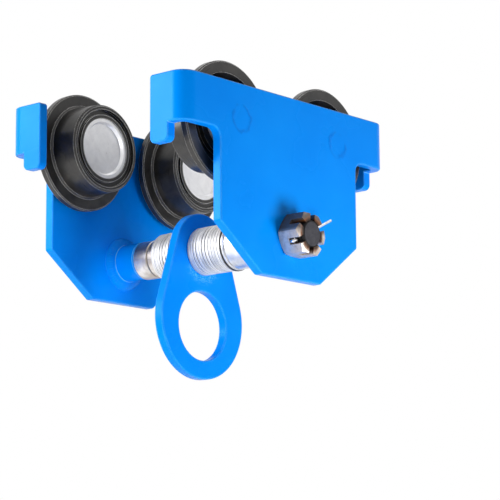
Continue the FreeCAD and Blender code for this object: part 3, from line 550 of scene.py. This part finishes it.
wheelValues = {
    "black": (0.01, 0.0095, 0.009), "rubbed": (0.05, 0.045, 0.04), "rubbedShare": 0.6,
    "rim": (0.85, 0.83, 0.8), "rimShare": 0.92, "rimReach": 0.001, "rimLow": 0.02, "rimHigh": 0.16, "rimScale": 45.0,
    "roughLow": 0.26, "roughHigh": 0.44, "gloss": 0.4, "coat": 0.12, "coatRoughness": 0.12,
    "lineScale": 1100.0, "lineDepth": 0.000012, "cloudScale": 90.0, "peelScale": 700.0, "peelDepth": 0.00001,
}


def makeWheelBlack(values):
    material, tree, shader, spot = newMaterial("blackWheelPaint", **{
        "Specular IOR Level": values["gloss"], "Coat Weight": values["coat"],
        "Coat Roughness": values["coatRoughness"]})
    turned = useGroup(tree, turnedGroup, Vector=spot, Across=axleAcross, Up=axleHeight,
                      LineScale=values["lineScale"], CloudScale=values["cloudScale"])
    coat = useGroup(tree, enamelGroup, Vector=spot, PeelScale=values["peelScale"])
    edges = useGroup(tree, edgeGroup, Vector=spot, Reach=values["rimReach"], Low=values["rimLow"],
                     High=values["rimHigh"], Scale=values["rimScale"])
    # Rubbed bare steel on the rim edges, made bright to stand in for the highlights there as well
    rimWearAndHighlight = calc(tree, "MULTIPLY", edges["Mask"], values["rimShare"])
    worn = calc(tree, "MULTIPLY", turned["Cloud"], values["rubbedShare"])
    dark = blendColour(tree, worn, values["black"], values["rubbed"])
    tree.links.new(rimWearAndHighlight, shader.inputs["Metallic"])
    linkSurface(tree, shader, blendColour(tree, rimWearAndHighlight, dark, values["rim"]), roughBy(tree, turned["Lines"], values),
                [(turned["Height"], values["lineDepth"]), (coat["Height"], values["peelDepth"])])
    return material


rubberValues = {
    "black": (0.012, 0.012, 0.013), "dusty": (0.035, 0.035, 0.036), "roughLow": 0.5, "roughHigh": 0.75,
    "lineScale": 900.0, "cloudScale": 200.0, "grainScale": 1600.0, "grainDepth": 0.00004,
}


def makeRubber(values):
    material, tree, shader, spot = newMaterial("blackRubber")
    turned = useGroup(tree, turnedGroup, Vector=spot, Up=shaftHeight, LineScale=values["lineScale"],
                      CloudScale=values["cloudScale"])
    grain = noise(tree, spot, values["grainScale"])
    linkSurface(tree, shader, blendColour(tree, turned["Cloud"], values["black"], values["dusty"]),
                roughBy(tree, remap(tree, grain, 0.3, 0.7), values), [(grain, values["grainDepth"])])
    return material


blueEnamel = makeBlueEnamel("blueEnamel", enamelValues, enamelValues["edgeHighlightShare"])
eyeEnamel = makeBlueEnamel("blueEyeEnamel", enamelValues, enamelValues["edgeHighlightShare"], enamelValues["eyeScuffShare"])
weldEnamel = makeBlueEnamel("blueWeldEnamel", enamelValues, enamelValues["weldEdgeHighlightShare"])
zincTurned = makeZinc("zincTurned", zincValues, 0.0, shaftHeight, 3500.0)
zincCollar = makeZinc("zincCollar", collarValues, 0.0, shaftHeight, 2200.0, joint=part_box("long_collar")[0].y)
zincCap = makeZinc("zincCap", capValues, axleAcross, axleHeight, 2600.0)
zincWire = makeZinc("zincWire", zincValues, 0.0, shaftHeight, 900.0)
bearingSteel = makeZinc("groundBearingSteel", zincValues, axleAcross, axleHeight, 5000.0)
nutPlate = makeNutPlate(nutValues)
darkSteel = makeDarkSteel(shaftValues)
wheelBlack = makeWheelBlack(wheelValues)
blackRubber = makeRubber(rubberValues)
print("materials made")

nodeFinishes = {
    "front_side_plate": blueEnamel, "rear_side_plate": blueEnamel, "rear_boss": blueEnamel, "eye_plate": eyeEnamel,
    "cross_shaft": darkSteel, "castle_nut": nutPlate, "cotter_pin": zincWire, "front_spacer": zincTurned,
    "black_ring": blackRubber, "front_washers_odd": zincTurned, "front_washers_even": zincTurned,
    "rear_washers_odd": zincTurned, "rear_washers_even": zincTurned, "short_collar": zincCollar,
    "long_collar": zincCollar, "end_washer": zincTurned,
}
cornerFinishes = {
    "wheel": wheelBlack, "stud": bearingSteel, "bearing_outer": bearingSteel, "bearing_inner": bearingSteel,
    "bearing_balls": bearingSteel, "bearing_shields": bearingSteel, "circlip": darkSteel, "dust_cap": zincCap,
}
for piece, material in cornerFinishes.items():
    for corner in wheelCorners:
        nodeFinishes[piece + "_" + corner] = material
for name, material in nodeFinishes.items():
    nodes[name].data.materials.clear()
    nodes[name].data.materials.append(material)
print("nodes finished:", len(nodeFinishes))


# Row of washers on the shaft; chance slips, leans and thins each of them a little
def makeWasherTree():
    tree = bpy.data.node_groups.new("washerStack", "GeometryNodeTree")
    sockets = {}
    for name, kind, start in (
            ("Count", "NodeSocketInt", 10), ("Pitch", "NodeSocketFloat", 0.003), ("Start", "NodeSocketVector", None),
            ("OuterRadius", "NodeSocketFloat", 0.0185), ("InnerRadius", "NodeSocketFloat", 0.0104),
            ("EdgeRound", "NodeSocketFloat", 0.0004), ("Thinnest", "NodeSocketFloat", 0.9),
            ("Thickest", "NodeSocketFloat", 0.98), ("SideSlip", "NodeSocketFloat", 0.0002),
            ("Tilt", "NodeSocketFloat", 0.005), ("SideSteps", "NodeSocketInt", 96), ("Seed", "NodeSocketInt", 1),
            ("Finish", "NodeSocketMaterial", None)):
        socket = tree.interface.new_socket(name=name, in_out="INPUT", socket_type=kind)
        if start is not None:
            socket.default_value = start
        sockets[name] = socket.identifier
    tree.interface.new_socket(name="Geometry", in_out="OUTPUT", socket_type="NodeSocketGeometry")
    given = groupIn(tree)
    wall = calc(tree, "SUBTRACT", given["OuterRadius"], given["InnerRadius"])
    middle = calc(tree, "MULTIPLY", calc(tree, "ADD", given["OuterRadius"], given["InnerRadius"]), 0.5)
    section = addNode(tree, "GeometryNodeCurvePrimitiveQuadrilateral", {"Width": wall, "Height": given["Pitch"]})
    rounded = addNode(tree, "GeometryNodeFilletCurve", {
        "Curve": section.outputs[0], "Count": 4, "Radius": given["EdgeRound"]}, mode="POLY")
    hoop = addNode(tree, "GeometryNodeCurvePrimitiveCircle", {
        "Resolution": given["SideSteps"], "Radius": middle}, mode="RADIUS")
    washer = addNode(tree, "GeometryNodeCurveToMesh", {
        "Curve": hoop.outputs[0], "Profile Curve": rounded.outputs[0]})
    row = addNode(tree, "GeometryNodeMeshLine", {
        "Count": given["Count"], "Start Location": given["Start"], "Offset": joinXyz(tree, y=given["Pitch"])})
    back = calc(tree, "MULTIPLY", given["SideSlip"], -1.0)
    slip = addNode(tree, "FunctionNodeRandomValue", {
        "Min": joinXyz(tree, x=back, z=back), "Max": joinXyz(tree, x=given["SideSlip"], z=given["SideSlip"]),
        "Seed": given["Seed"]}, data_type="FLOAT_VECTOR")
    moved = addNode(tree, "GeometryNodeSetPosition", {"Geometry": row.outputs[0], "Offset": slip.outputs[0]})
    lean = calc(tree, "MULTIPLY", given["Tilt"], -1.0)
    quarter, nearlyRound = math.pi / 2, 6.28  # the hoop is made flat, so a quarter turn stands it up
    turn = addNode(tree, "FunctionNodeRandomValue", {
        "Min": joinXyz(tree, calc(tree, "ADD", lean, quarter), 0.0, lean),
        "Max": joinXyz(tree, calc(tree, "ADD", given["Tilt"], quarter), nearlyRound, given["Tilt"]),
        "Seed": calc(tree, "ADD", given["Seed"], 5.0)}, data_type="FLOAT_VECTOR")
    thick = addNode(tree, "FunctionNodeRandomValue", {
        "Min": given["Thinnest"], "Max": given["Thickest"], "Seed": calc(tree, "ADD", given["Seed"], 9.0)},
        data_type="FLOAT")
    placed = addNode(tree, "GeometryNodeInstanceOnPoints", {
        "Points": moved.outputs[0], "Instance": washer.outputs[0], "Rotation": turn.outputs[0],
        "Scale": joinXyz(tree, 1.0, 1.0, thick.outputs[1])})
    solid = addNode(tree, "GeometryNodeRealizeInstances", {"Geometry": placed.outputs[0]})
    finished = addNode(tree, "GeometryNodeSetMaterial", {"Geometry": solid.outputs[0], "Material": given["Finish"]})
    groupOut(tree, Geometry=finished.outputs[0])
    return tree, sockets


def addPiece(name, mesh):
    piece = bpy.data.objects.new(name, mesh)
    scene.collection.objects.link(piece)
    return piece


def solidFromTree(name, tree, settings):
    carrier = addPiece(name + "Carrier", bpy.data.meshes.new(name + "Carrier"))
    modifier = carrier.modifiers.new("shape", "NODES")
    modifier.node_group = tree
    for identifier, given in settings.items():
        modifier[identifier] = given
    bpy.context.view_layer.update()
    mesh = bpy.data.meshes.new_from_object(carrier.evaluated_get(bpy.context.evaluated_depsgraph_get()))
    mesh.name = name
    carrier.modifiers.remove(modifier)
    bpy.data.objects.remove(carrier)
    return addPiece(name, mesh)


def faceOutwards(mesh):
    work = bmesh.new()
    work.from_mesh(mesh)
    bmesh.ops.remove_doubles(work, verts=work.verts, dist=0.000001)
    bmesh.ops.recalc_face_normals(work, faces=work.faces)
    work.to_mesh(mesh)
    work.free()


def shadeByAngle(mesh, degrees):
    limit = math.radians(degrees)
    work = bmesh.new()
    work.from_mesh(mesh)
    for face in work.faces:
        face.smooth = True
    for edge in work.edges:
        edge.smooth = not (edge.is_manifold and edge.calc_face_angle(0) > limit)
    work.to_mesh(mesh)
    work.free()


washerValues = {
    "pitch": 0.003, "boreRadius": 0.0104, "sideSteps": 120, "edgeRound": 0.00028, "thinnest": 0.78,
    "thickest": 0.92, "sideSlip": 0.00012, "tilt": 0.009, "smoothAngle": 28, "seedFront": 3, "seedRear": 8,
}


def addWasherStack(name, oddNode, evenNode, seed, values, tree, sockets):
    low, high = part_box(oddNode)
    start = min(low.y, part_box(evenNode)[0].y)
    count = round((max(high.y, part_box(evenNode)[1].y) - start) / values["pitch"])
    radius = (high.z - low.z) / 2
    given = {
        "Count": count, "Pitch": values["pitch"], "Start": (0.0, start + values["pitch"] / 2, shaftHeight),
        "OuterRadius": radius, "InnerRadius": values["boreRadius"], "EdgeRound": values["edgeRound"],
        "Thinnest": values["thinnest"], "Thickest": values["thickest"], "SideSlip": values["sideSlip"],
        "Tilt": values["tilt"], "SideSteps": values["sideSteps"], "Seed": seed,
        "Finish": makeWasherZinc(name + "Zinc", start, count, values["pitch"], radius, washerFinish),
    }
    piece = solidFromTree(name, tree, {sockets[label]: value for label, value in given.items()})
    faceOutwards(piece.data)
    shadeByAngle(piece.data, values["smoothAngle"])
    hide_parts(oddNode, evenNode)
    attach(piece, "trolley")


washerTree, washerSockets = makeWasherTree()
for side in ("front", "rear"):
    addWasherStack(side + "Washers", side + "_washers_odd", side + "_washers_even",
                   washerValues["seed" + side.capitalize()], washerValues, washerTree, washerSockets)
print("washers made")


# Piece of the trolley's own body, in blue, from the faces of a bmesh
def addBluePiece(name, work, material, smoothAngle):
    bmesh.ops.recalc_face_normals(work, faces=work.faces)
    mesh = bpy.data.meshes.new(name)
    work.to_mesh(mesh)
    work.free()
    mesh.materials.append(material)
    shadeByAngle(mesh, smoothAngle)
    piece = addPiece(name, mesh)
    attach(piece, "trolley")


# Distances are from the boss's side and from the plate's inner face; roundness over 1 hollows the bead
weldValues = {
    "bossRadius": 0.0145, "plateThickness": 0.008, "reach": 0.0066, "rise": 0.0042, "roundness": 1.25,
    "overlap": 0.0004, "sunk": 0.0003, "ripples": 60, "rippleDepth": 0.00017, "rippleWidth": 0.7,
    "wander": 0.00045, "riseWander": 0.6, "ringSteps": 460, "sideSteps": 9, "smoothAngle": 50, "seed": 5,
}


def addWeldBead(values):
    plateInside = rearPlateFace - values["plateThickness"]
    insideBoss = values["bossRadius"] - values["overlap"]
    draws = random.Random(values["seed"])
    waves = [(k, draws.uniform(0, 2 * math.pi), draws.uniform(0.4, 1.0)) for k in (2, 3, 5, 7)]
    work = bmesh.new()
    rings = []
    for step in range(values["ringSteps"]):
        angle = 2 * math.pi * step / values["ringSteps"]
        drift = sum(share * math.sin(k * angle + start) for k, start, share in waves) / 3
        ripple = abs(math.sin(values["ripples"] * angle / 2)) ** values["rippleWidth"]
        reach = values["reach"] + drift * values["wander"]
        rise = values["rise"] + drift * values["wander"] * values["riseWander"]
        section = []
        for side in range(values["sideSteps"] + 1):
            share = side / values["sideSteps"] * math.pi / 2
            swell = ripple * values["rippleDepth"] * math.sin(2 * share)
            out = insideBoss + (reach + values["overlap"]) * math.cos(share) ** values["roundness"] + swell
            section.append((out, plateInside - rise * math.sin(share) ** values["roundness"] - swell))
        for out in (insideBoss, values["bossRadius"] + reach):  # foot, just inside the plate
            section.append((out, plateInside + values["sunk"]))
        rings.append([work.verts.new((out * math.cos(angle), along, shaftHeight + out * math.sin(angle)))
                      for out, along in section])
    for step, ring in enumerate(rings):
        after = rings[(step + 1) % len(rings)]
        for side in range(len(ring)):
            work.faces.new((ring[side], ring[(side + 1) % len(ring)], after[(side + 1) % len(ring)], after[side]))
    addBluePiece("weldBead", work, weldEnamel, values["smoothAngle"])


addWeldBead(weldValues)
print("weld bead made")

# Paint that closes the joint round each riveted stud end: a very low dome on the plate's face
filmValues = {
    "flatRadius": 0.0125, "reach": 0.0175, "rise": 0.00006, "sunk": 0.000008, "depth": 0.0002,
    "rings": 14, "sideSteps": 96, "smoothAngle": 30,
}


def filmHeight(radius, values):
    fall = (radius - values["flatRadius"]) / (values["reach"] - values["flatRadius"])
    fall = min(1.0, max(0.0, fall))
    fall = fall * fall * (3 - 2 * fall)
    return values["rise"] * (1 - fall) - values["sunk"] * fall


def addPaintFilms(values):
    work = bmesh.new()
    steps = values["sideSteps"]
    for corner in wheelCorners:
        across = middleOf("stud_" + corner).x
        out, face = (-1, frontPlateFace) if corner.startswith("front") else (1, rearPlateFace)
        radii = [values["reach"] * ring / values["rings"] for ring in range(1, values["rings"] + 1)]
        levels = [(radius, filmHeight(radius, values)) for radius in radii]
        levels.append((values["reach"], -values["depth"]))  # wall down into the plate
        top = work.verts.new((across, face + out * values["rise"], axleHeight))
        bottom = work.verts.new((across, face - out * values["depth"], axleHeight))
        rows = []
        for radius, height in levels:
            angles = [2 * math.pi * step / steps for step in range(steps)]
            rows.append([work.verts.new((across + radius * math.cos(angle), face + out * height,
                                         axleHeight + radius * math.sin(angle))) for angle in angles])
        for step in range(steps):
            after = (step + 1) % steps
            work.faces.new((top, rows[0][step], rows[0][after]))
            work.faces.new((bottom, rows[-1][after], rows[-1][step]))
            for near, far in zip(rows, rows[1:]):
                work.faces.new((near[step], far[step], far[after], near[after]))
    addBluePiece("studPaint", work, blueEnamel, values["smoothAngle"])


addPaintFilms(filmValues)
print("paint films made")
